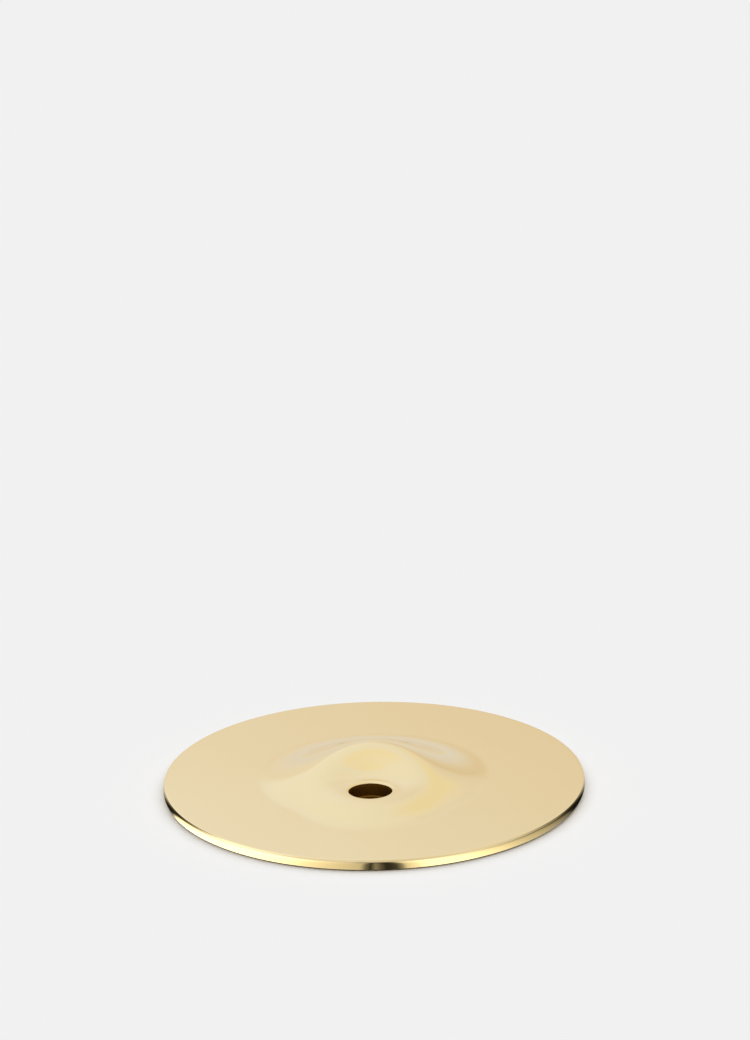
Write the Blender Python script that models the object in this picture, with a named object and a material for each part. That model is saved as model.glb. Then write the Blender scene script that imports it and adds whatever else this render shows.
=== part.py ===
"""A low, round candle holder in polished brass: a pressed shell with a soft hill and one candle mouth.

Metres, +Z up. The felt's underside lies on z = 0, the disc's axis is the Z axis, and the mouth is
on the -Y side of the hill, which is the front.
"""

import math

import bmesh
import bpy
import numpy as np

MM = 0.001

# Disc and rim
DISC_RADIUS = 110.0 * MM
PLATE_TOP = 6.3 * MM
SKIRT_FOOT = 0.5 * MM
SHEET = 1.5 * MM
RIM_BULGE = 5.0 * MM
RIM_WIDEST = 3.8 * MM
EDGE_ROUND = 0.4 * MM

# Hill, pressed up from the flat disc on its axis
HILL_HEIGHT = 17.3 * MM
HILL_RADIUS = 61.0 * MM

# Candle mouth, level, on a soft landing in the front of the hill
MOUTH_X = -2.0 * MM
MOUTH_Y = -31.5 * MM
MOUTH_RADIUS = 11.0 * MM
MOUTH_RISE = 5.3 * MM
LIP_ROUND = 1.2 * MM
LANDING_SPARE = 0.2 * MM
LANDING_LEVEL = MOUTH_RADIUS + LIP_ROUND + LANDING_SPARE
LANDING_BLEND = 29.6 * MM

# Candle cup under the mouth
CUP_SPARE = 0.2 * MM
CUP_RADIUS = MOUTH_RADIUS + CUP_SPARE
CUP_WALL = 0.6 * MM
CUP_FLANGE = 3.7 * MM

# Base plate, felt and fasteners
FELT_THICKNESS = 0.8 * MM
BASE_THICKNESS = 1.2 * MM
BASE_CHAMFER = 0.2 * MM
FELT_MARGIN = 4.0 * MM
SCREW_COUNT = 4
SCREW_CIRCLE = 37.0 * MM
SCREW_FIRST_ANGLE = math.radians(45.0)
SCREW_RADIUS = 1.25 * MM
SCREW_GRIP = 4.0 * MM
SCREW_TIP_CHAMFER = 0.3 * MM
HEAD_RADIUS = 2.2 * MM
HEAD_LAND = 0.15 * MM
HEX_RADIUS = 0.85 * MM
HEX_DEPTH = 0.7 * MM
BOSS_RADIUS = 3.6 * MM
BORE_SPARE = 1.0 * MM

# Clearances
SEAT_GAP = 0.3 * MM
BASE_SIDE_GAP = 0.5 * MM

# Facets
SHELL_SIDES = 96
HILL_RINGS = 26
UNDERSIDE_RINGS = 18
LIP_RINGS = 4
EDGE_RINGS = 2
WALL_RINGS = 6
PLATE_SIDES = 96
CUP_SIDES = 64
SMALL_SIDES = 24

# Stack of levels, from the table up
BASE_BOTTOM = FELT_THICKNESS + SEAT_GAP
BASE_TOP = BASE_BOTTOM + BASE_THICKNESS
CUP_BOTTOM = BASE_TOP + SEAT_GAP
CUP_FLOOR = CUP_BOTTOM + CUP_WALL
LIP_TOP = PLATE_TOP + MOUTH_RISE
CUP_TOP = LIP_TOP - SHEET - SEAT_GAP


# Scene and materials

def clear_scene():
    """Remove every object, so that the model stands alone."""
    for thing in list(bpy.data.objects):
        bpy.data.objects.remove(thing, do_unlink=True)


def finish(name, colour, metallic, roughness):
    """A Principled material with one colour, metallic value and roughness."""
    material = bpy.data.materials.new(name)
    material.use_nodes = True
    shader = material.node_tree.nodes["Principled BSDF"]
    shader.inputs["Base Color"].default_value = (*colour, 1.0)
    shader.inputs["Metallic"].default_value = metallic
    shader.inputs["Roughness"].default_value = roughness
    material.diffuse_color = (*colour, 1.0)
    return material


def add_object(name, mesh, material, place=(0.0, 0.0, 0.0)):
    """Link a mesh as an object of this name, with its own material, at its place."""
    piece = bpy.data.objects.new(name, mesh)
    piece.data.materials.append(material)
    piece.location = place
    bpy.context.scene.collection.objects.link(piece)
    return piece


# The shell's shape

def bell(share):
    """A half cosine: 1 at share 0, falling to 0 at share 1 and beyond, level at both ends."""
    return 0.5 + 0.5 * np.cos(np.pi * np.clip(share, 0.0, 1.0))


def smooth_step(share):
    """6t^5 - 15t^4 + 10t^3: 0 to 1, with no slope and no curvature at the ends."""
    t = np.clip(share, 0.0, 1.0)
    return t * t * t * (t * (6.0 * t - 15.0) + 10.0)


def top_height(x, y):
    """Height of the polished top: the flat disc, the bell-shaped hill and the mouth's level landing."""
    hill = HILL_HEIGHT * bell(np.hypot(x, y) / HILL_RADIUS)
    from_mouth = np.hypot(x - MOUTH_X, y - MOUTH_Y)
    landing = 1.0 - smooth_step((from_mouth - LANDING_LEVEL) / LANDING_BLEND)
    return PLATE_TOP + hill + (MOUTH_RISE - hill) * landing


def rim_radius(z):
    """Outer radius of the rim at height z: an upright arc that is widest at RIM_WIDEST."""
    return DISC_RADIUS - RIM_BULGE + np.sqrt(RIM_BULGE**2 - (z - RIM_WIDEST) ** 2)


def ring(centre, radius, height, sides=SHELL_SIDES):
    """Points of one level or draped ring; height is a number or a function of x and y."""
    angle = np.linspace(0.0, 2.0 * np.pi, sides, endpoint=False)
    x = centre[0] + radius * np.cos(angle)
    y = centre[1] + radius * np.sin(angle)
    z = height(x, y) if callable(height) else np.full(sides, height)
    return np.stack([x, y, z], axis=1)


def draped_rings(inner_radius, outer_radius, height, count):
    """Rings that drift from a circle round the mouth to a circle round the disc's axis."""
    rings = []
    for share in np.linspace(0.0, 1.0, count):
        centre = ((1.0 - share) * MOUTH_X, (1.0 - share) * MOUTH_Y)
        radius = (1.0 - share) * inner_radius + share * outer_radius
        rings.append(ring(centre, radius, height))
    return rings


def shell_rings():
    """The shell's closed section as rings: over the top, down the rim, back underneath, up the mouth."""
    edge_radius = float(rim_radius(PLATE_TOP - EDGE_ROUND))
    rings = draped_rings(MOUTH_RADIUS + LIP_ROUND, edge_radius - EDGE_ROUND, top_height, HILL_RINGS)
    axis = (0.0, 0.0)
    for step in range(1, EDGE_RINGS + 1):
        turn = 0.5 * math.pi * step / EDGE_RINGS
        radius = edge_radius - EDGE_ROUND * (1.0 - math.sin(turn))
        rings.append(ring(axis, radius, PLATE_TOP - EDGE_ROUND * (1.0 - math.cos(turn))))
    for height in np.linspace(PLATE_TOP - EDGE_ROUND, SKIRT_FOOT, WALL_RINGS + 1)[1:]:
        rings.append(ring(axis, float(rim_radius(height)), height))
    for height in np.linspace(SKIRT_FOOT, PLATE_TOP - SHEET, WALL_RINGS + 1)[:-1]:
        rings.append(ring(axis, float(rim_radius(height)) - SHEET, height))
    inner_edge = float(rim_radius(PLATE_TOP - SHEET)) - SHEET
    rings += reversed(draped_rings(MOUTH_RADIUS, inner_edge, underside_height, UNDERSIDE_RINGS))
    mouth = (MOUTH_X, MOUTH_Y)
    for step in range(LIP_RINGS):
        turn = 0.5 * math.pi * (1.0 - step / LIP_RINGS)
        radius = MOUTH_RADIUS + LIP_ROUND * (1.0 - math.sin(turn))
        rings.append(ring(mouth, radius, LIP_TOP - LIP_ROUND * (1.0 - math.cos(turn))))
    return rings


def underside_height(x, y):
    """Height of the shell's hidden underside."""
    return top_height(x, y) - SHEET


def closed_tube(name, rings):
    """A mesh of quads through the rings, with the last ring joined to the first."""
    points = np.concatenate(rings)
    sides = len(rings[0])
    row = np.arange(len(rings))[:, None] * sides
    next_row = np.roll(row, -1, axis=0)
    column = np.arange(sides)[None, :]
    next_column = np.roll(column, -1, axis=1)
    corners = [row + column, next_row + column, next_row + next_column, row + next_column]
    faces = np.stack(corners, axis=-1).reshape(-1, 4)
    mesh = bpy.data.meshes.new(name)
    mesh.from_pydata(points.tolist(), [], faces.tolist())
    mesh.update()
    return mesh


def make_top_shell(brass):
    """The pressed shell: flat disc, hill, mouth with its rolled lip, and the turned-down rim."""
    return add_object("top_shell", closed_tube("top_shell", shell_rings()), brass)


# Turned pieces

def turned(name, profile, material, place=(0.0, 0.0, 0.0), sides=SMALL_SIDES):
    """A piece turned about Z from (radius, height) points that run down its outer side."""
    mesh = bpy.data.meshes.new(name)
    points = [(radius, 0.0, height) for radius, height in profile]
    edges = [(i, i + 1) for i in range(len(points) - 1)]
    mesh.from_pydata(points, edges, [])
    piece = add_object(name, mesh, material, place)
    screw = piece.modifiers.new("turn", "SCREW")
    screw.axis = "Z"
    screw.angle = 2.0 * math.pi
    screw.steps = sides
    screw.render_steps = sides
    screw.use_merge_vertices = True
    screw.merge_threshold = 0.00001
    return piece


def make_candle_cup(brass):
    """The drawn cup that holds the candle's foot; its flange is soldered under the landing."""
    outer = CUP_RADIUS + CUP_WALL
    flange = outer + CUP_FLANGE
    profile = [
        (0.0, CUP_FLOOR),
        (CUP_RADIUS, CUP_FLOOR),
        (CUP_RADIUS, CUP_TOP),
        (flange, CUP_TOP),
        (flange, CUP_TOP - CUP_WALL),
        (outer, CUP_TOP - CUP_WALL),
        (outer, CUP_BOTTOM),
        (0.0, CUP_BOTTOM),
    ]
    return turned("candle_cup", profile, brass, (MOUTH_X, MOUTH_Y, 0.0), CUP_SIDES)


def make_felt_pad(felt, radius):
    """The felt glued under the base plate, which the holder stands on."""
    profile = [(0.0, FELT_THICKNESS), (radius, FELT_THICKNESS), (radius, 0.0), (0.0, 0.0)]
    return turned("felt_pad", profile, felt, sides=PLATE_SIDES)


# Fasteners

def screw_places():
    """Where the fasteners stand, evenly round the disc's axis."""
    places = []
    for index in range(SCREW_COUNT):
        angle = SCREW_FIRST_ANGLE + 2.0 * math.pi * index / SCREW_COUNT
        places.append((SCREW_CIRCLE * math.cos(angle), SCREW_CIRCLE * math.sin(angle)))
    return places


def cut(piece, cutter):
    """Take the cutter away from the piece with an exact Boolean, and hide the cutter."""
    boolean = piece.modifiers.new(cutter.name, "BOOLEAN")
    boolean.operation = "DIFFERENCE"
    boolean.solver = "EXACT"
    boolean.object = cutter
    cutter.hide_render = True
    cutter.display_type = "WIRE"


def make_screw(index, place, steel):
    """A countersunk screw with a hexagon socket, driven up through the base plate."""
    cone_top = BASE_BOTTOM + HEAD_LAND + HEAD_RADIUS - SCREW_RADIUS
    tip = BASE_TOP + SCREW_GRIP
    profile = [
        (0.0, tip),
        (SCREW_RADIUS - SCREW_TIP_CHAMFER, tip),
        (SCREW_RADIUS, tip - SCREW_TIP_CHAMFER),
        (SCREW_RADIUS, cone_top),
        (HEAD_RADIUS, BASE_BOTTOM + HEAD_LAND),
        (HEAD_RADIUS, BASE_BOTTOM),
        (0.0, BASE_BOTTOM),
    ]
    screw = turned(f"screw_{index}", profile, steel, (*place, 0.0))
    socket_top = BASE_BOTTOM + HEX_DEPTH
    socket_foot = BASE_BOTTOM - HEX_DEPTH
    socket = [(0.0, socket_top), (HEX_RADIUS, socket_top), (HEX_RADIUS, socket_foot), (0.0, socket_foot)]
    cut(screw, turned(f"socket_cutter_{index}", socket, steel, (*place, 0.0), sides=6))
    return screw


def make_base_plate(steel, radius, places):
    """The steel plate that closes the underside and weighs the holder down."""
    profile = [
        (0.0, BASE_TOP),
        (radius - BASE_CHAMFER, BASE_TOP),
        (radius, BASE_TOP - BASE_CHAMFER),
        (radius, BASE_BOTTOM + BASE_CHAMFER),
        (radius - BASE_CHAMFER, BASE_BOTTOM),
        (0.0, BASE_BOTTOM),
    ]
    plate = turned("base_plate", profile, steel, sides=PLATE_SIDES)
    hole = SCREW_RADIUS + SEAT_GAP
    sink = HEAD_RADIUS + SEAT_GAP
    cone_top = BASE_BOTTOM + HEAD_LAND + sink - hole
    above = BASE_TOP + SEAT_GAP
    below = BASE_BOTTOM - SEAT_GAP
    hole_profile = [
        (0.0, above),
        (hole, above),
        (hole, cone_top),
        (sink, BASE_BOTTOM + HEAD_LAND),
        (sink, below),
        (0.0, below),
    ]
    for index, place in enumerate(places, start=1):
        cut(plate, turned(f"hole_cutter_{index}", hole_profile, steel, (*place, 0.0)))
    return plate


def make_boss(index, place, brass):
    """A tapped boss soldered under the hill, its top cut to the hill's slope."""
    mesh = bpy.data.meshes.new(f"boss_{index}")
    foot = BASE_TOP + SEAT_GAP
    blank = bmesh.new()
    bmesh.ops.create_cone(
        blank,
        cap_ends=True,
        cap_tris=True,
        segments=SMALL_SIDES,
        radius1=BOSS_RADIUS,
        radius2=BOSS_RADIUS,
        depth=HILL_HEIGHT,
    )
    for vertex in blank.verts:
        ceiling = underside_height(place[0] + vertex.co.x, place[1] + vertex.co.y) - SEAT_GAP
        vertex.co.z = float(ceiling) if vertex.co.z > 0.0 else foot
    blank.to_mesh(mesh)
    blank.free()
    boss = add_object(f"boss_{index}", mesh, brass, (*place, 0.0))
    bore = SCREW_RADIUS + SEAT_GAP
    bore_top = BASE_TOP + SCREW_GRIP + SEAT_GAP
    below = foot - BORE_SPARE
    profile = [(0.0, bore_top), (bore, bore_top), (bore, below), (0.0, below)]
    cut(boss, turned(f"bore_cutter_{index}", profile, brass, (*place, 0.0)))
    return boss


def main():
    """Build every piece at its place."""
    clear_scene()
    make_top_shell(finish("polished_brass", (0.91, 0.74, 0.42), 1.0, 0.06))
    make_candle_cup(finish("cup_brass", (0.80, 0.62, 0.32), 1.0, 0.25))
    inner_radius = float(rim_radius(SKIRT_FOOT)) - SHEET
    base_radius = inner_radius - BASE_SIDE_GAP
    places = screw_places()
    make_base_plate(finish("plate_steel", (0.62, 0.63, 0.65), 1.0, 0.35), base_radius, places)
    make_felt_pad(finish("dark_felt", (0.035, 0.035, 0.04), 0.0, 0.95), base_radius - FELT_MARGIN)
    for index, place in enumerate(places, start=1):
        make_boss(index, place, finish(f"boss_brass_{index}", (0.78, 0.60, 0.30), 1.0, 0.3))
        make_screw(index, place, finish(f"screw_steel_{index}", (0.70, 0.70, 0.72), 1.0, 0.25))


main()
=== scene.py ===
# %% [markdown]
# # A disc candle holder in polished brass
#
# The real holder is one thin sheet of brass. A press raises a soft hill in its middle, a punch opens
# one mouth for a candle, and the edge is turned down to a low rim. A drawn cup sits under the mouth,
# and a steel plate with felt closes the underside.
#
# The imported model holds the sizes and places. This script keeps them and makes the looks: smooth
# surfaces that can carry a mirror polish, and a finish for every piece.

import math

import bpy
import numpy as np
from mathutils import Matrix, Vector


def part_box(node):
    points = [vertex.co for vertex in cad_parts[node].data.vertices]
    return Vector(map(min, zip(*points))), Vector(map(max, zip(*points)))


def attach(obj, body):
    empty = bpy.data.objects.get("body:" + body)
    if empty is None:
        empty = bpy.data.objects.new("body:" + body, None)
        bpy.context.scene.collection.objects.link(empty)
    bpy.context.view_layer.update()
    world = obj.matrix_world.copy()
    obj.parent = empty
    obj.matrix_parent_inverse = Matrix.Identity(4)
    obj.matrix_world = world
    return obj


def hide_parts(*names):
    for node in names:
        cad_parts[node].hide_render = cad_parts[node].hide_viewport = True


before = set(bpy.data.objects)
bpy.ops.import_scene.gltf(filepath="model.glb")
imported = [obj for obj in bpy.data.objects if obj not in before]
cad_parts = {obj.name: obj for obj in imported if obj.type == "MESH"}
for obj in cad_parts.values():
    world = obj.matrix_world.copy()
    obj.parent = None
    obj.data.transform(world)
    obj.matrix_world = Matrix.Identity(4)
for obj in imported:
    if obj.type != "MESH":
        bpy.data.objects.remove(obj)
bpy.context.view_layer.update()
print("nodes", sorted(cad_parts))

# %% [markdown]
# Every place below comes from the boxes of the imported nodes, so that a new pack moves the looks too.
# The shell gives the disc's radius, the cup gives the middle of the mouth, and the felt the table.

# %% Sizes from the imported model
MM = 0.001
shell_low, shell_high = (np.array(corner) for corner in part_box("top_shell"))
cup_low, cup_high = (np.array(corner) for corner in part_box("candle_cup"))
felt_low, felt_high = (np.array(corner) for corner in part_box("felt_pad"))

DISC_RADIUS = float(shell_high[0])
SKIRT_FOOT = float(shell_low[2])
MOUTH = (cup_low + cup_high)[:2] / 2.0
SHEET = 1.5 * MM
SOLDER_GAP = 0.3 * MM
LIP_TOP = float(cup_high[2]) + SOLDER_GAP + SHEET
print("disc radius", round(DISC_RADIUS / MM, 2), "mm, mouth at", np.round(MOUTH / MM, 2), "mm")
print("lip", round(LIP_TOP / MM, 2), "mm above the table")

# %% [markdown]
# ## A surface is a grid of points
#
# Every new piece here is a set of rings, one row of a grid for each ring. Two parameters run over
# it: the step along the piece's section and the angle round the ring. numpy works out all points
# at once, and one helper turns the grid into a mesh, so that no loop visits a single vertex.

# %% From a grid of rings to a mesh
def grid_faces(rings, sides, closed):
    """Quads between ring i and ring i + 1, and round each ring; closed joins the last ring to the first."""
    row = np.arange(rings if closed else rings - 1)[:, None]
    column = np.arange(sides)[None, :]
    below = (row + 1) % rings * sides
    beside = (column + 1) % sides
    corners = [row * sides + column, below + column, below + beside, row * sides + beside]
    return np.stack(np.broadcast_arrays(*corners), axis=-1).reshape(-1, 4)


def make_piece(name, points, faces, material, sharp=None):
    """A smooth mesh object at the origin, riding on the holder's one body; edges past sharp stay crisp."""
    mesh = bpy.data.meshes.new(name)
    mesh.from_pydata(points.reshape(-1, 3).tolist(), [], faces)
    mesh.shade_smooth()
    if sharp is not None:
        mesh.set_sharp_from_angle(angle=sharp)
    mesh.materials.append(material)
    piece = bpy.data.objects.new(name, mesh)
    bpy.context.scene.collection.objects.link(piece)
    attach(piece, "root")
    print(name, len(mesh.vertices), "points,", len(mesh.polygons), "faces")
    return piece


def circle(centre, radius, height, sides):
    """Rings of points: centre plus radius times (cos a, sin a), at the given height for each ring."""
    angle = np.linspace(0.0, 2.0 * np.pi, sides, endpoint=False)[None, :]
    centre, radius, height = np.atleast_2d(centre), np.atleast_1d(radius), np.atleast_1d(height)
    x = centre[:, :1] + radius[:, None] * np.cos(angle)
    y = centre[:, 1:] + radius[:, None] * np.sin(angle)
    z = np.broadcast_to(height[:, None], x.shape)
    return np.stack([x, y, z], axis=-1)


# %% [markdown]
# ## The finish of the brass
#
# Polished brass is a plain mirror with a warm tint. Close to, it is never even: the buffing wheel
# leaves hair-fine marks that curve round the disc, the polish is a little deeper here than there,
# and a lacquer keeps it from going dull. A metal with a low roughness gives the mirror. A noise
# stretched round the disc's axis gives the buffing marks, and a slow noise varies the depth.

# %% Helpers for building materials
def new_material(name):
    """A material with its Principled shader, ready for nodes."""
    material = bpy.data.materials.new(name)
    material.use_nodes = True
    shader = material.node_tree.nodes["Principled BSDF"]
    return material, shader


def node(tree, kind, **inputs):
    """Add a node and set the inputs that are named."""
    made = tree.nodes.new(kind)
    for key, value in inputs.items():
        made.inputs[key.replace("_", " ")].default_value = value
    return made


def maths(tree, operation, first, second=0.0):
    """One Math node; an input is a number or another node's output."""
    made = tree.nodes.new("ShaderNodeMath")
    made.operation = operation
    for socket, value in zip(made.inputs, (first, second)):
        if isinstance(value, (int, float)):
            socket.default_value = value
        else:
            tree.links.new(value, socket)
    return made.outputs[0]


def ramp(tree, source, low, high):
    """Carry a 0 to 1 value to the range from low to high."""
    made = node(tree, "ShaderNodeMapRange", To_Min=low, To_Max=high)
    tree.links.new(source, made.inputs["Value"])
    return made.outputs["Result"]


def polar(tree, centre):
    """Polar coordinates about a vertical axis through centre: radius in metres, and turn in radians."""
    place = tree.nodes.new("ShaderNodeTexCoord").outputs["Object"]
    split = tree.nodes.new("ShaderNodeSeparateXYZ")
    tree.links.new(place, split.inputs[0])
    x = maths(tree, "SUBTRACT", split.outputs["X"], float(centre[0]))
    y = maths(tree, "SUBTRACT", split.outputs["Y"], float(centre[1]))
    squared = maths(tree, "ADD", maths(tree, "MULTIPLY", x, x), maths(tree, "MULTIPLY", y, y))
    return maths(tree, "SQRT", squared), maths(tree, "ARCTAN2", y, x), split.outputs["Z"], place


def mix_colours(tree, factor, first, second):
    """Blend two colours, or outputs that carry one, by a 0 to 1 value."""
    made = tree.nodes.new("ShaderNodeMix")
    made.data_type = "RGBA"
    for key, value in (("A", first), ("B", second)):
        if isinstance(value, tuple):
            made.inputs[key].default_value = (*value, 1.0)
        else:
            tree.links.new(value, made.inputs[key])
    tree.links.new(factor, made.inputs["Factor"])
    return made.outputs["Result"]


def joined(tree, x, y, z=0.0):
    """Three values as one vector."""
    made = tree.nodes.new("ShaderNodeCombineXYZ")
    for socket, value in zip(made.inputs, (x, y, z)):
        if isinstance(value, (int, float)):
            socket.default_value = value
        else:
            tree.links.new(value, socket)
    return made.outputs[0]


def noise(tree, vector, scale, detail=2.0, roughness=0.5):
    """Blender's noise texture on a vector, as a 0 to 1 value."""
    made = node(tree, "ShaderNodeTexNoise", Scale=scale, Detail=detail, Roughness=roughness)
    tree.links.new(vector, made.inputs["Vector"])
    return made.outputs["Fac"]


# %% Brass, polished and turned
CLOUDS_PER_METRE = 14.0
MARK_STRENGTH = 0.15
MIRROR_TINTS = ((0.92, 0.765, 0.445), (0.90, 0.735, 0.415))
# The cup's two tints are dark brown. This is painted shade for the dark inside of the mouth, not the colour
# of brass itself.
CUP_PAINTED_SHADE_TINTS = ((0.22, 0.105, 0.016), (0.15, 0.072, 0.011))
MIRROR_MARK_DEPTH = 0.002 * MM
CUP_MARK_DEPTH = 0.02 * MM


def brass(name, centre, tints, gloss, marks_per_mm, mark_depth):
    """Brass with buffing marks round an axis through centre.

    tints are two close colours, gloss is the lowest and highest roughness, marks_per_mm is how
    closely the marks lie, and mark_depth is the height of their bump in metres.
    """
    material, shader = new_material(name)
    tree = material.node_tree
    radius, turn, height, place = polar(tree, centre)
    across = maths(tree, "MULTIPLY", maths(tree, "ADD", radius, height), marks_per_mm / MM)
    marks = noise(tree, joined(tree, across, turn), 1.0, detail=3.0)
    slow = noise(tree, place, CLOUDS_PER_METRE, detail=3.0)
    shader.inputs["Metallic"].default_value = 1.0
    tree.links.new(mix_colours(tree, slow, *tints), shader.inputs["Base Color"])
    wear = maths(tree, "MULTIPLY", maths(tree, "ADD", slow, marks), 0.5)
    tree.links.new(ramp(tree, wear, *gloss), shader.inputs["Roughness"])
    bump = node(tree, "ShaderNodeBump", Strength=MARK_STRENGTH, Distance=mark_depth)
    tree.links.new(marks, bump.inputs["Height"])
    tree.links.new(bump.outputs["Normal"], shader.inputs["Normal"])
    return material


mirror_brass = brass("polished_brass", (0.0, 0.0), MIRROR_TINTS, (0.03, 0.12), 2.0, MIRROR_MARK_DEPTH)
# The cup takes the dark tints, so the shade in the recess under the mouth is painted into its colour.
cup_brass = brass("cup_brass", MOUTH, CUP_PAINTED_SHADE_TINTS, (0.35, 0.55), 6.0, CUP_MARK_DEPTH)
print("materials", mirror_brass.name, cup_brass.name)

# %% [markdown]
# ## The pressed shell
#
# The top is one height over the plan: the flat disc, plus a bell-shaped hill on the disc's axis,
# eased to a level landing where the mouth is punched. Both easings meet the flat without a kink, as
# pressed sheet does; on a mirror even a faint kink would show as a line. Rings drift from a circle
# round the mouth to a circle round the disc, so both edges are true circles.

# %% The hill and the landing
PLATE_TOP = 6.3 * MM
HILL_HEIGHT = 17.3 * MM
HILL_RADIUS = 61.0 * MM
LANDING_LEVEL = 12.4 * MM
LANDING_BLEND = 29.6 * MM


def bell(share):
    """Half a cosine: 1 at share 0, 0 from share 1 on, level at both ends."""
    return 0.5 + 0.5 * np.cos(np.pi * np.clip(share, 0.0, 1.0))


def smooth_step(share):
    """6t^5 - 15t^4 + 10t^3, from 0 to 1 with no slope and no curvature at the ends."""
    t = np.clip(share, 0.0, 1.0)
    return t**3 * (t * (6.0 * t - 15.0) + 10.0)


def drape(rings, lower=0.0):
    """Give each point of the rings the height of the shell's top above it, less lower."""
    x, y = rings[..., 0], rings[..., 1]
    hill = HILL_HEIGHT * bell(np.hypot(x, y) / HILL_RADIUS)
    from_mouth = np.hypot(x - MOUTH[0], y - MOUTH[1])
    landing = 1.0 - smooth_step((from_mouth - LANDING_LEVEL) / LANDING_BLEND)
    z = PLATE_TOP + hill + (LIP_TOP - PLATE_TOP - hill) * landing - lower
    return np.stack([x, y, z], axis=-1)


# %% The shell's rings, from the mouth over the top, down the rim and back underneath
MOUTH_RADIUS = 11.0 * MM
LIP_ROUND = 1.2 * MM
EDGE_ROUND = 0.4 * MM
RIM_BULGE = 5.0 * MM
RIM_WIDEST = 3.8 * MM
SHELL_SIDES = 512
TOP_RINGS = 96
UNDERSIDE_RINGS = 24
LIP_RINGS = 10
EDGE_RINGS = 5
WALL_RINGS = 12
FOOT_RINGS = 4


def rim_radius(z):
    """The rim is an upright arc: disc radius - R + sqrt(R^2 - (z - widest)^2)."""
    return DISC_RADIUS - RIM_BULGE + np.sqrt(RIM_BULGE**2 - (z - RIM_WIDEST) ** 2)


def drifting(inner_radius, outer_radius, share):
    """Circles whose centre and radius go straight from the mouth's to the disc's as share goes 0 to 1."""
    centre = (1.0 - share)[:, None] * MOUTH[None, :]
    radius = (1.0 - share) * inner_radius + share * outer_radius
    return circle(centre, radius, np.zeros(len(share)), SHELL_SIDES)


def shell_grid():
    """All rings of the shell, in order round its closed section."""
    edge = float(rim_radius(PLATE_TOP - EDGE_ROUND))
    share = np.linspace(0.0, 1.0, TOP_RINGS)
    top = drape(drifting(MOUTH_RADIUS + LIP_ROUND, edge - EDGE_ROUND, share))
    turn = np.linspace(0.0, np.pi / 2, EDGE_RINGS + 1)[1:]
    edge_radius = edge - EDGE_ROUND * (1.0 - np.sin(turn))
    corner = circle((0, 0), edge_radius, PLATE_TOP - EDGE_ROUND * (1.0 - np.cos(turn)), SHELL_SIDES)
    foot_round = SHEET / 2
    down = np.linspace(PLATE_TOP - EDGE_ROUND, SKIRT_FOOT + foot_round / 2, WALL_RINGS + 1)[1:]
    wall = circle((0, 0), rim_radius(down), down, SHELL_SIDES)
    middle = float(rim_radius(SKIRT_FOOT)) - SHEET / 2
    swing = np.linspace(0.0, np.pi, FOOT_RINGS + 2)[1:-1]
    foot_height = SKIRT_FOOT + foot_round / 2 * (1.0 - np.sin(swing))
    foot = circle((0, 0), middle + SHEET / 2 * np.cos(swing), foot_height, SHELL_SIDES)
    up = np.linspace(SKIRT_FOOT + foot_round / 2, PLATE_TOP - SHEET, WALL_RINGS + 1)[:-1]
    inner_wall = circle((0, 0), rim_radius(up) - SHEET, up, SHELL_SIDES)
    inner_edge = float(rim_radius(PLATE_TOP - SHEET)) - SHEET
    back = np.linspace(1.0, 0.0, UNDERSIDE_RINGS)
    underside = drape(drifting(MOUTH_RADIUS, inner_edge, back), SHEET)
    roll = np.linspace(np.pi / 2, 0.0, LIP_RINGS + 1)[:-1]
    lip_radius = MOUTH_RADIUS + LIP_ROUND * (1.0 - np.sin(roll))
    lip = circle(MOUTH, lip_radius, LIP_TOP - LIP_ROUND * (1.0 - np.cos(roll)), SHELL_SIDES)
    return np.concatenate([top, corner, wall, foot, inner_wall, underside, lip])


shell_points = shell_grid()
shell_faces = grid_faces(len(shell_points), SHELL_SIDES, closed=True)
shell = make_piece("shell_polished", shell_points, shell_faces.tolist(), mirror_brass)
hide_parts("top_shell")

# %% [markdown]
# ## The candle cup
#
# A drawn cup has soft corners where the punch pushed the sheet down, and faint turning marks on its
# floor. It is a profile carried round the mouth's axis: the inside floor, the inside corner, the
# wall, the flange, and back down the outside. The poles in the middle of the floor are closed.

# %% A profile turned about an upright axis
CRISP_ANGLE = math.radians(35.0)


def turned(name, profile, centre, sides, material):
    """Points of the profile (radius, height) carried round the axis; the ends on the axis are closed."""
    profile = np.array(profile)
    rings = circle(np.repeat([centre], len(profile), axis=0), profile[:, 0], profile[:, 1], sides)
    faces = grid_faces(len(profile), sides, closed=False)
    ends = [(*centre, profile[0, 1]), (*centre, profile[-1, 1])]
    points = np.concatenate([rings.reshape(-1, 3), np.array(ends)])
    first, last = len(points) - 2, len(points) - 1
    column = np.arange(sides)
    beside = (column + 1) % sides
    bottom_row = (len(profile) - 1) * sides
    cap_start = np.stack([np.full(sides, first), column, beside], axis=-1)
    cap_end = np.stack([np.full(sides, last), bottom_row + beside, bottom_row + column], axis=-1)
    mesh_faces = faces.tolist() + cap_start.tolist() + cap_end.tolist()
    return make_piece(name, points, mesh_faces, material, sharp=CRISP_ANGLE)


def arc(centre_radius, centre_height, radius, start, end, steps):
    """Points of an arc in the section, from the start angle to the end angle in degrees."""
    angle = np.radians(np.linspace(start, end, steps + 1))
    return [(centre_radius + radius * math.cos(a), centre_height + radius * math.sin(a)) for a in angle]


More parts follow.
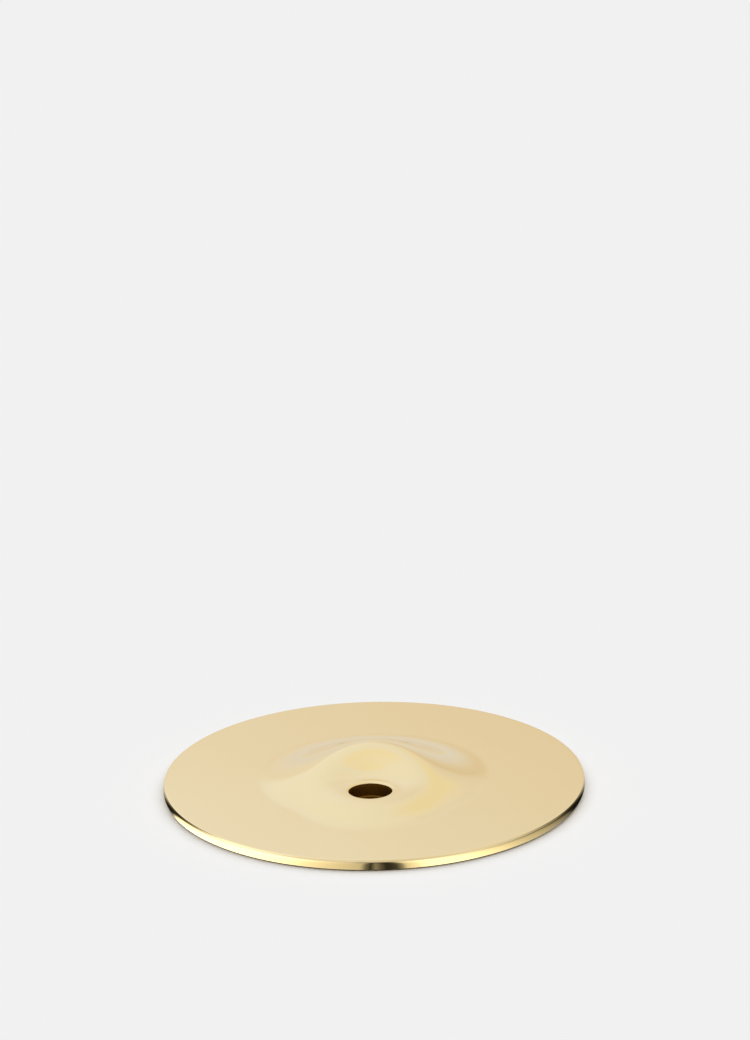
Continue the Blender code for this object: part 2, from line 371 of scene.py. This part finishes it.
# %% The cup's section
CUP_WALL = 0.6 * MM
CUP_INNER = 11.2 * MM
CUP_CORNER = 1.6 * MM
FLANGE_BEND = 0.25 * MM
CUP_POLE = 0.3 * MM
CUP_SIDES = 192
flange = float(cup_high[0] - MOUTH[0])
cup_foot = float(cup_low[2])
floor = cup_foot + CUP_WALL
outer = CUP_INNER + CUP_WALL
cup_top = float(cup_high[2])
inner_corner = CUP_CORNER - CUP_WALL
cup_profile = (
    [(CUP_POLE, floor), (CUP_INNER / 2, floor)]
    + arc(CUP_INNER - inner_corner, floor + inner_corner, inner_corner, -90, 0, 8)
    + arc(CUP_INNER + FLANGE_BEND, cup_top - FLANGE_BEND, FLANGE_BEND, 180, 90, 4)
    + arc(flange - CUP_WALL / 2, cup_top - CUP_WALL / 2, CUP_WALL / 2, 90, -90, 8)
    + arc(outer + FLANGE_BEND, cup_top - CUP_WALL - FLANGE_BEND, FLANGE_BEND, 90, 180, 4)
    + arc(outer - CUP_CORNER, cup_foot + CUP_CORNER, CUP_CORNER, 0, -90, 10)
    + [(CUP_INNER / 2, cup_foot), (CUP_POLE, cup_foot)]
)
# The cup's dark brown colour is painted shade for the recess under the mouth.
cup = turned("cup_drawn", cup_profile, MOUTH, CUP_SIDES, cup_brass)
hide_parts("candle_cup")

# %% [markdown]
# ## The underside
#
# Turned over, the holder shows a ring of steel plate round the felt. Rolled steel has fine straight
# grain and small darker flecks. Felt is matted wool: no threads, only short fibres that lie every
# way and catch the light softly, so it takes a fine noise in colour and height and a soft sheen.

# %% Steel and felt
FLECKS_PER_METRE = 900.0
FIBRES_PER_METRE = 2600.0
THIN_SPOTS_PER_METRE = 120.0
FIBRE_SHARE = 0.7
STEEL_TINTS = ((0.50, 0.51, 0.53), (0.70, 0.71, 0.72))
BOSS_TINTS = ((0.78, 0.60, 0.30), (0.68, 0.50, 0.23))
BOSS_MARK_DEPTH = 0.01 * MM
GRAIN_DEPTH = 0.03 * MM
FIBRE_DEPTH = 0.1 * MM


def rolled_steel(name, grain_direction):
    """Plain steel with fine straight grain, stretched along one axis, and small dull flecks."""
    material, shader = new_material(name)
    tree = material.node_tree
    place = tree.nodes.new("ShaderNodeTexCoord").outputs["Object"]
    stretch = tree.nodes.new("ShaderNodeMapping")
    stretch.inputs["Scale"].default_value = grain_direction
    tree.links.new(place, stretch.inputs["Vector"])
    grain = noise(tree, stretch.outputs["Vector"], 1.0, detail=3.0)
    flecks = noise(tree, place, FLECKS_PER_METRE, detail=2.0)
    shader.inputs["Metallic"].default_value = 1.0
    tint = maths(tree, "MULTIPLY", maths(tree, "ADD", grain, flecks), 0.5)
    tree.links.new(mix_colours(tree, tint, *STEEL_TINTS), shader.inputs["Base Color"])
    tree.links.new(ramp(tree, grain, 0.25, 0.5), shader.inputs["Roughness"])
    bump = node(tree, "ShaderNodeBump", Strength=0.2, Distance=GRAIN_DEPTH)
    tree.links.new(grain, bump.inputs["Height"])
    tree.links.new(bump.outputs["Normal"], shader.inputs["Normal"])
    return material


def matted_felt(name, dark, light):
    """Felt: fibres as a fine noise, slow clouds where it is pressed thinner, and a soft sheen."""
    material, shader = new_material(name)
    tree = material.node_tree
    place = tree.nodes.new("ShaderNodeTexCoord").outputs["Object"]
    fibres = noise(tree, place, FIBRES_PER_METRE, detail=4.0, roughness=0.7)
    clouds = noise(tree, place, THIN_SPOTS_PER_METRE, detail=3.0)
    fine = maths(tree, "MULTIPLY", fibres, FIBRE_SHARE)
    shade = maths(tree, "ADD", fine, maths(tree, "MULTIPLY", clouds, 1.0 - FIBRE_SHARE))
    tree.links.new(mix_colours(tree, shade, dark, light), shader.inputs["Base Color"])
    shader.inputs["Roughness"].default_value = 0.95
    shader.inputs["Sheen Weight"].default_value = 0.35
    shader.inputs["Sheen Roughness"].default_value = 0.6
    bump = node(tree, "ShaderNodeBump", Strength=0.6, Distance=FIBRE_DEPTH)
    tree.links.new(shade, bump.inputs["Height"])
    tree.links.new(bump.outputs["Normal"], shader.inputs["Normal"])
    return material


plate_steel = rolled_steel("plate_steel", (40.0, 2500.0, 40.0))
screw_steel = rolled_steel("screw_steel", (3000.0, 3000.0, 200.0))
dark_felt = matted_felt("dark_felt", (0.018, 0.018, 0.021), (0.07, 0.07, 0.078))
boss_brass = brass("boss_brass", (0.0, 0.0), BOSS_TINTS, (0.25, 0.45), 3.0, BOSS_MARK_DEPTH)
print("materials", plate_steel.name, screw_steel.name, dark_felt.name, boss_brass.name)

# %% The felt, with a soft cut edge
FELT_EDGE = 0.25 * MM
FELT_POLE = 1.0 * MM
PLATE_SIDES = 256
felt_radius = float(felt_high[0])
felt_top = float(felt_high[2])
felt_foot = float(felt_low[2])
felt_profile = (
    [(FELT_POLE, felt_top), (felt_radius / 2, felt_top)]
    + arc(felt_radius - FELT_EDGE, felt_top - FELT_EDGE, FELT_EDGE, 90, 0, 5)
    + arc(felt_radius - FELT_EDGE, felt_foot + FELT_EDGE, FELT_EDGE, 0, -90, 5)
    + [(felt_radius / 2, felt_foot), (FELT_POLE, felt_foot)]
)
felt = turned("felt_matted", felt_profile, (0.0, 0.0), PLATE_SIDES, dark_felt)
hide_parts("felt_pad")

# %% [markdown]
# The plate, the bosses and the screws already have their true shape, holes and sockets included, in
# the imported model, so those nodes stay and only take a better finish.

# %% Finish the nodes that stay
def refinish(name, material):
    """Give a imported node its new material."""
    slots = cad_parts[name].material_slots
    slots[0].material = material
    print("refinished", name)


refinish("base_plate", plate_steel)
for index in range(1, 5):
    refinish(f"boss_{index}", boss_brass)
    refinish(f"screw_{index}", screw_steel)

# %% [markdown]
# ## The studio
#
# A mirror shows its room, so the room is half of the picture. The floor and the surround are one
# even pale grey. Plain light falls from above, so the shadow is only a thin dark line where the rim
# meets the table. The upright rim mirrors the floor close by and the foot of the tent: bright panels
# on the left, less bright ones on the right, a dark gap on the camera's side, and a dark strip at
# each end. Each table below lists stations round the holder, as degrees from the camera's side,
# positive to the right, with the brightness there.

# %% What the rim sees round the holder
TENT_BY_TURN = [
    (-180.0, 0.98),
    (-140.0, 1.00),
    (-120.0, 1.30),
    (-95.0, 1.70),
    (-60.0, 1.90),
    (-40.0, 1.40),
    (-24.0, 1.00),
    (-12.0, 0.75),
    (-6.0, 0.10),
    (5.0, 0.03),
    (12.0, 0.90),
    (26.0, 1.25),
    (42.0, 1.30),
    (62.0, 1.05),
    (90.0, 0.72),
    (115.0, 0.50),
    (140.0, 0.90),
    (180.0, 0.98),
]
FLOOR_BY_TURN = [
    (-180.0, 0.83),
    (-100.0, 0.80),
    (-88.0, 0.30),
    (-80.0, 0.01),
    (-75.0, 0.03),
    (-71.0, 1.20),
    (-64.0, 1.90),
    (-57.0, 2.40),
    (-44.0, 2.50),
    (-30.0, 2.15),
    (-19.0, 1.25),
    (-12.0, 0.92),
    (-7.0, 0.76),
    (-3.5, 0.62),
    (-1.5, 0.04),
    (0.5, 0.28),
    (2.0, 0.03),
    (5.0, 0.05),
    (8.0, 0.80),
    (12.0, 1.30),
    (18.0, 1.90),
    (30.0, 1.45),
    (44.0, 0.80),
    (57.0, 0.44),
    (67.0, 0.15),
    (73.0, 0.01),
    (80.0, 0.01),
    (88.0, 0.30),
    (100.0, 0.72),
    (140.0, 0.74),
    (180.0, 0.83),
]


def by_turn(tree, x, y, stations, top=3.0):
    """A value that follows the stations by the turn of (x, y) from the camera's side, as a 0 to top curve."""
    to_camera = maths(tree, "MULTIPLY", y, -1.0)
    turn = maths(tree, "ARCTAN2", x, to_camera)
    share = maths(tree, "ADD", maths(tree, "DIVIDE", turn, 2.0 * math.pi), 0.5)
    band = tree.nodes.new("ShaderNodeFloatCurve")
    curve = band.mapping.curves[0]
    spots = [(degrees / 360.0 + 0.5, strength / top) for degrees, strength in stations]
    curve.points[0].location = spots[0]
    curve.points[-1].location = spots[-1]
    for spot in spots[1:-1]:
        curve.points.new(*spot)
    for point in curve.points:
        point.handle_type = "AUTO_CLAMPED"
    band.mapping.update()
    tree.links.new(share, band.inputs["Value"])
    return maths(tree, "MULTIPLY", band.outputs["Value"], top)


def soft_range(tree, source, low, high, to_low, to_high):
    """Carry a value from one range to another with soft ends."""
    made = node(tree, "ShaderNodeMapRange", From_Min=low, From_Max=high, To_Min=to_low, To_Max=to_high)
    made.interpolation_type = "SMOOTHSTEP"
    tree.links.new(source, made.inputs["Value"])
    return made.outputs["Result"]


def split_vector(tree, vector):
    """The x, y and z outputs of a vector."""
    made = tree.nodes.new("ShaderNodeSeparateXYZ")
    tree.links.new(vector, made.inputs[0])
    return made.outputs["X"], made.outputs["Y"], made.outputs["Z"]


def seen_in_metal(tree):
    """1 for what the camera sees mirrored in metal; 0 for light that metal would throw on the floor."""
    rays = tree.nodes.new("ShaderNodeLightPath")
    direct = maths(tree, "LESS_THAN", rays.outputs["Diffuse Depth"], 0.5)
    return maths(tree, "MULTIPLY", rays.outputs["Is Glossy Ray"], direct)


def mix_shaders(tree, factor, first, second):
    """The first shader where the factor is 0 and the second where it is 1."""
    made = tree.nodes.new("ShaderNodeMixShader")
    tree.links.new(factor, made.inputs["Fac"])
    tree.links.new(first, made.inputs[1])
    tree.links.new(second, made.inputs[2])
    return made.outputs[0]


print("stations", len(TENT_BY_TURN), "in the air and", len(FLOOR_BY_TURN), "on the floor")

# %% The floor, which the rim mirrors too
PALE = 0.88
FLOOR_SIZE = 40.0
PANEL_TINT = (1.0, 0.93, 0.74)
floor_mesh = bpy.data.meshes.new("studio_floor")
half = FLOOR_SIZE / 2
corners = [(-half, -half, 0.0), (half, -half, 0.0), (half, half, 0.0), (-half, half, 0.0)]
floor_mesh.from_pydata(corners, [], [(0, 1, 2, 3)])
floor_material, floor_shader = new_material("studio_floor")
floor_shader.inputs["Base Color"].default_value = (PALE, PALE, PALE, 1.0)
floor_shader.inputs["Roughness"].default_value = 1.0
floor_shader.inputs["Specular IOR Level"].default_value = 0.0
floor_tree = floor_material.node_tree
floor_place = floor_tree.nodes.new("ShaderNodeTexCoord").outputs["Object"]
floor_x, floor_y, _ = split_vector(floor_tree, floor_place)
panels = floor_tree.nodes.new("ShaderNodeEmission")
panels.inputs["Color"].default_value = (*PANEL_TINT, 1.0)
floor_tree.links.new(by_turn(floor_tree, floor_x, floor_y, FLOOR_BY_TURN), panels.inputs["Strength"])
floor_out = floor_tree.nodes["Material Output"]
seen = mix_shaders(floor_tree, seen_in_metal(floor_tree), floor_shader.outputs[0], panels.outputs[0])
floor_tree.links.new(seen, floor_out.inputs["Surface"])
floor_mesh.materials.append(floor_material)
studio_floor = bpy.data.objects.new("studio_floor", floor_mesh)
bpy.context.scene.collection.objects.link(studio_floor)
print("floor", FLOOR_SIZE, "m across")

# %% [markdown]
# The tent changes with the direction in which the metal looks out. Its foot follows the stations.
# Above that it is one soft roof whose colour drifts: cooler to the near left, warmer to the far
# right, warmest on the right half way up, and paler again near the horizon. A range below is the
# part of a direction's x or z over which one tone gives way to the next.

# %% The tent and the plain light from above
ROOF_LEFT = 1.04
ROOF_RIGHT = 0.96
TENT_STRENGTH = 1.2
NEAR_LEFT = (0.76, 0.78, 0.84)
FAR_RIGHT = (0.675, 0.60, 0.50)
WARM = (0.79, 0.755, 0.64)
HORIZON = (0.685, 0.67, 0.665)
LIGHT_STRENGTH = 1.40
ZENITH_WARMTH = 0.7

# Ranges of a direction's x or z
ROOF_SIDES = (-0.5, 0.5)
BAND_TOP = (0.06, 0.20)
SIDEWAYS = (-0.11, 0.11)
FLAT_HEIGHTS = (0.34, 0.41)
HILL_HEIGHTS = (0.40, 0.75)
WARM_SIDE = (0.10, 0.35)
WARM_FROM = (0.42, 0.60)
WARM_TO = (0.80, 0.95)
ZENITH = (0.95, 1.0)
HORIZON_HEIGHTS = (0.10, 0.35)
LIGHT_HEIGHTS = (0.30, 0.75)

world = bpy.data.worlds.new("studio_tent")
bpy.context.scene.world = world
world.use_nodes = True
sky = world.node_tree
sky.nodes.clear()
sky_x, sky_y, sky_z = split_vector(sky, sky.nodes.new("ShaderNodeTexCoord").outputs["Generated"])
band = by_turn(sky, sky_x, sky_y, TENT_BY_TURN)
roof = soft_range(sky, sky_x, *ROOF_SIDES, ROOF_LEFT, ROOF_RIGHT)
rightward = soft_range(sky, sky_x, *SIDEWAYS, 0.0, 0.5)
on_flats = soft_range(sky, sky_z, *HILL_HEIGHTS, 1.0, 0.0)
lower = soft_range(sky, sky_z, *FLAT_HEIGHTS, 0.5, 0.0)
drift = maths(sky, "ADD", maths(sky, "MULTIPLY", rightward, on_flats), lower)
upward = soft_range(sky, sky_z, *BAND_TOP, 0.0, 1.0)
blend = sky.nodes.new("ShaderNodeMix")
blend.data_type = "FLOAT"
sky.links.new(upward, blend.inputs["Factor"])
sky.links.new(band, blend.inputs["A"])
sky.links.new(roof, blend.inputs["B"])
warm_side = soft_range(sky, sky_x, *WARM_SIDE, 0.0, 1.0)
warm_low = soft_range(sky, sky_z, *WARM_FROM, 0.0, 1.0)
warm_high = soft_range(sky, sky_z, *WARM_TO, 1.0, 0.0)
warm_patch = maths(sky, "MULTIPLY", warm_side, maths(sky, "MULTIPLY", warm_low, warm_high))
zenith = soft_range(sky, sky_z, *ZENITH, 0.0, ZENITH_WARMTH)
warmth = maths(sky, "MAXIMUM", warm_patch, zenith)
horizon = soft_range(sky, sky_z, *HORIZON_HEIGHTS, 1.0, 0.0)

tent = sky.nodes.new("ShaderNodeBackground")
flats = mix_colours(sky, drift, NEAR_LEFT, FAR_RIGHT)
warmed = mix_colours(sky, warmth, flats, WARM)
sky.links.new(mix_colours(sky, horizon, warmed, HORIZON), tent.inputs["Color"])
sky.links.new(maths(sky, "MULTIPLY", blend.outputs["Result"], TENT_STRENGTH), tent.inputs["Strength"])
plain = node(sky, "ShaderNodeBackground", Color=(1.0, 1.0, 1.0, 1.0))
sky.links.new(soft_range(sky, sky_z, *LIGHT_HEIGHTS, 0.0, LIGHT_STRENGTH), plain.inputs["Strength"])
pale = node(sky, "ShaderNodeBackground", Color=(PALE, PALE, PALE, 1.0), Strength=1.0)
rays = sky.nodes.new("ShaderNodeLightPath")
lit = mix_shaders(sky, seen_in_metal(sky), plain.outputs[0], tent.outputs[0])
whole = mix_shaders(sky, rays.outputs["Is Camera Ray"], lit, pale.outputs[0])
sky_out = sky.nodes.new("ShaderNodeOutputWorld")
sky.links.new(whole, sky_out.inputs["Surface"])
print("sky nodes", len(sky.nodes))

# %% [markdown]
# ## The camera
#
# A long lens from almost two metres away keeps the disc's ellipse calm. The camera looks down at
# about twenty-two degrees, aims above the holder so that the holder sits low in an upright picture,
# and leans a little to one side.

# %% Camera
DISTANCE = 1.8
ELEVATION = math.radians(22.04)
LEAN = math.radians(-1.13)
YAW = math.radians(-0.109)
DISC_SHARE = 0.4039
DROP_SHARE = 0.2463
SENSOR = 36.0
focal = DISC_SHARE * DISTANCE / (2.0 * DISC_RADIUS)
aim = Vector((0.0, 0.0, PLATE_TOP))
lens = bpy.data.cameras.new("camera")
lens.sensor_fit = "VERTICAL"
lens.sensor_height = SENSOR
lens.lens = SENSOR * focal
lens.clip_end = 100.0
camera = bpy.data.objects.new("camera", lens)
bpy.context.scene.collection.objects.link(camera)
camera.location = aim + Vector((0.0, -math.cos(ELEVATION), math.sin(ELEVATION))) * DISTANCE
tip = math.pi / 2 - ELEVATION + math.atan(DROP_SHARE / focal)
turned_to = Matrix.Rotation(YAW, 3, "Z") @ Matrix.Rotation(tip, 3, "X") @ Matrix.Rotation(LEAN, 3, "Z")
camera.rotation_euler = turned_to.to_euler()
bpy.context.scene.camera = camera
bpy.context.scene.view_settings.view_transform = "Standard"
print("lens", round(lens.lens, 1), "mm")
